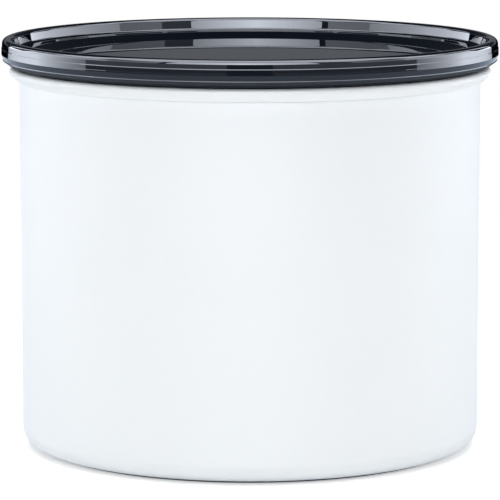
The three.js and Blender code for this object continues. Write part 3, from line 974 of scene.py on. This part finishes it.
# Stage: a white floor, soft lamps, and cards that only reflections see. Angles are in degrees to the
# right of the camera's side, seen from the canister; heights and distances are in metres.
stage = {
    "floorHalf": 6.0,
    "floorColour": (0.96, 0.96, 0.96, 1),
    "floorLift": 0.35,  # white added for what the camera and the lid see
    "nearRing": (0.16, 0.5),
    "world": (0.145, 0.155, 0.172),
    "aim": (0, 0, 0.05),
    "lamps": [  # place, width, height, brightness
        ("frontLamp", (0, -1.7, 0.5), 2.0, 1.0, 1.13),
        ("rightFrontLamp", (1.35, -1.05, 0.5), 1.0, 1.0, 1.28),
        ("leftFrontLamp", (-1.35, -1.05, 0.5), 1.0, 1.0, 1.28),
        ("rightLamp", (1.6, 0.15, 0.5), 1.2, 1.0, 1.02),
        ("leftLamp", (-1.6, 0.15, 0.5), 1.2, 1.0, 1.02),
        ("backLamp", (0, 1.7, 0.5), 1.6, 1.0, 1.05),
        ("topLamp", (0, 0, 1.5), 1.4, 1.4, 3.05),
    ],
    "cardTint": (0.94, 1.0, 1.12, 1),
    # Angles, lower and upper edge (two heights where an edge climbs), distance, and the brightness at the
    # first end, in the middle and at the last end.
    "cards": [
        ("frontCard", (-38, 31), (0.23, 1.5), 1.5, (7, 13.8, 6.7)),
        ("leftFillCard", (-122, -41.5), (0.2, 0.95), 1.4, (1.6, 2.0, 2.7)),
        ("rightGapCard", (31, 47), (0.2, 0.95), 1.45, (0.6, 0.6, 0.6)),
        ("rightFillCard", (47, 122), (0.2, 0.95), 1.4, (2.4, 2.0, 1.6)),
        ("leftCard", (-143.5, -66), (0.12, 0.45), 0.8, (4.8, 6.3, 4.2)),
        ("rightCard", (72.5, 143.5), (0.12, 0.45), 0.8, (4.3, 5.7, 4.8)),
        ("leftTopCard", (-112, -78), (0.55, 1.0), 0.8, (7, 7, 7)),
        ("rightTopCard", (82, 112), (0.55, 1.0), 0.8, (7, 7, 7)),
        ("leftLedgeCard", (-147, -110), ((0.24, 0.76), (0.36, 0.87)), 0.74, (2.6, 4.6, 4.2)),
        ("rightLedgeCard", (110, 147), ((0.76, 0.24), (0.87, 0.36)), 0.74, (4.2, 4.6, 2.6)),
        ("leftBaseCard", (-145, -77.5), (0.0, 0.12), 0.8, (1.2, 7.0, 2.4)),
        ("rightBaseCard", (79, 145), (0.0, 0.12), 0.8, (2.4, 6.8, 1.2)),
        ("leftLowCard", (-77.5, -10), (0.035, 0.17), 0.85, (0.75, 0.75, 0.75)),
        ("rightLowCard", (10, 79), (0.035, 0.17), 0.85, (0.65, 0.65, 0.65)),
        ("leftLowFlag", (-77.5, -10), (0.0, 0.035), 0.84, (0.3, 0.3, 0.3)),
        ("rightLowFlag", (10, 79), (0.0, 0.035), 0.84, (0.3, 0.3, 0.3)),
        ("backFlag", (145, 215), (0.055, 0.15), 0.7, (0, 0, 0)),
        ("backLowFlag", (142, 218), (0.0, 0.15), 0.9, (0, 0, 0)),
        ("backHighFlag", (125, 235), (0.22, 1.3), 0.75, (0.03, 0.03, 0.03)),
        ("cameraFlag", (-10, 10), (0.0, 0.2), 0.93, (0.15, 0.15, 0.15)),
    ],
    "flatCards": [  # across, along, height, tint, brightness
        ("overheadCard", (-1.2, 1.2), (-1.0, 0.32), 1.25, (0.94, 1.0, 1.12, 1), (7, 7, 7)),
        ("floorCard", (-0.75, 0.75), (-0.75, 0.75), 0.0008, (0.86, 1.0, 1.22, 1), (0.84, 0.84, 0.84)),
    ],
}


def floorMaterial(size):
    material, graph = startMaterial("paleFloor")
    seen = graph.node("ShaderNodeLightPath", out="Is Camera Ray")
    for ray in ("Is Glossy Ray", "Is Transmission Ray"):
        seen = graph.math("MAXIMUM", seen, graph.node("ShaderNodeLightPath", out=ray))
    place = graph.node("ShaderNodeTexCoord", out="Object")
    away = graph.node("ShaderNodeVectorMath", {"operation": "LENGTH"}, {0: place}, out="Value")
    far = away.ease(*size["nearRing"]) * seen
    matte = graph.node("ShaderNodeBsdfDiffuse", {}, {"Color": size["floorColour"]})
    lift = graph.node("ShaderNodeEmission", {}, {"Strength": seen * size["floorLift"]})
    lit = graph.node("ShaderNodeAddShader", {}, {0: matte, 1: lift})
    white = graph.node("ShaderNodeEmission", {}, {"Strength": 1.0})
    mixed = graph.node("ShaderNodeMixShader", {}, {0: far, 1: lit, 2: white})
    graph.node("ShaderNodeOutputMaterial", {}, {"Surface": mixed})
    return material


# A card's glow goes evenly from the first end (u = 0) to the middle and on to the last end (u = 1).
def glowMaterial(name, tint, glows):
    material, graph = startMaterial(name)
    place = graph.node("ShaderNodeUVMap", {"uv_map": "across"})
    across = graph.node("ShaderNodeSeparateXYZ", {}, {"Vector": place}, out="X")
    first, middle, last = glows
    firstHalf = graph.math("MINIMUM", 2 * across, 1)
    lastHalf = graph.math("MAXIMUM", 2 * across - 1, 0)
    strength = first + (middle - first) * firstHalf + (last - middle) * lastHalf
    glow = graph.node("ShaderNodeEmission", {}, {"Color": tint, "Strength": strength})
    graph.node("ShaderNodeOutputMaterial", {}, {"Surface": glow})
    return material


# Hides a card from the camera and from plain light, so that only gloss shows it.
def reflectOnly(card):
    card.visible_camera = False
    card.visible_diffuse = False
    card.visible_shadow = False


# A card bent round the canister: a point is (distance sin a, -distance cos a, height), and the height of
# an edge goes evenly from the first end to the last.
def bentCard(name, angles, heights, distance, glows, tint, steps=24):
    share = np.linspace(0, 1, steps + 1)
    angle = np.radians(angles[0] + (angles[1] - angles[0]) * share)
    ring = np.stack([distance * np.sin(angle), -distance * np.cos(angle)], axis=-1)
    edges = [np.interp(share, (0, 1), np.broadcast_to(height, 2)) for height in heights]
    points = np.concatenate([np.insert(ring, 2, edge, axis=1) for edge in edges])
    low = np.arange(steps)
    faces = np.stack([low, low + 1, low + steps + 2, low + steps + 1], axis=-1)
    card = makePiece(name, points, faces.tolist())
    across = card.data.uv_layers.new(name="across")
    corner = np.stack([share[faces % (steps + 1)], np.zeros(faces.shape)], axis=-1)
    across.uv.foreach_set("vector", corner.ravel())
    card.data.materials.append(glowMaterial(name, tint, glows))
    reflectOnly(card)


# A level rectangle between two values of X and two of Y.
def flatCard(name, acrossX, alongY, height, material):
    corners = [(acrossX[i], alongY[j], height) for i, j in ((0, 0), (1, 0), (1, 1), (0, 1))]
    card = makePiece(name, np.array(corners, float), [[0, 1, 2, 3]])
    card.data.materials.append(material)
    return card


# A lamp that faces its aim; its energy is radiance * pi * area.
def areaLamp(name, place, width, height, radiance, aim):
    data = bpy.data.lights.new(name, "AREA")
    data.shape = "RECTANGLE"
    data.size = width
    data.size_y = height
    data.energy = radiance * math.pi * width * height
    lamp = bpy.data.objects.new(name, data)
    bpy.context.scene.collection.objects.link(lamp)
    lamp.location = place
    lamp.rotation_euler = (Vector(aim) - Vector(place)).to_track_quat("-Z", "Y").to_euler()
    lamp.visible_camera = False
    lamp.visible_glossy = False


def buildStage(size):
    half = size["floorHalf"]
    flatCard("floor", (-half, half), (-half, half), 0, floorMaterial(size))
    for card in size["cards"]:
        bentCard(*card, size["cardTint"])
    for name, acrossX, alongY, height, tint, glows in size["flatCards"]:
        reflectOnly(flatCard(name, acrossX, alongY, height, glowMaterial(name, tint, glows)))
    for lamp in size["lamps"]:
        areaLamp(*lamp, size["aim"])
    world = bpy.data.worlds.new("studio")
    bpy.context.scene.world = world
    world.use_nodes = True
    world.node_tree.nodes["Background"].inputs["Color"].default_value = (*size["world"], 1)


buildStage(stage)
print("stage")

# The camera stands in front and looks slightly down, as in the photograph.
view = {
    "distance": 0.9456,
    "height": 0.1876,
    "pitch": 8.28,
    "lens": 266.8,
    "sensor": 36.0,
    "clip": (0.05, 50),  # nearest and farthest thing that is drawn
}


def buildCamera(size):
    data = bpy.data.cameras.new("camera")
    data.lens = size["lens"]
    data.sensor_width = size["sensor"]
    data.clip_start, data.clip_end = size["clip"]
    camera = bpy.data.objects.new("camera", data)
    bpy.context.scene.collection.objects.link(camera)
    camera.location = (0, -size["distance"], size["height"])
    camera.rotation_euler = (math.radians(90 - size["pitch"]), 0, 0)
    bpy.context.scene.camera = camera


buildCamera(view)
bpy.context.scene.view_settings.view_transform = "Standard"
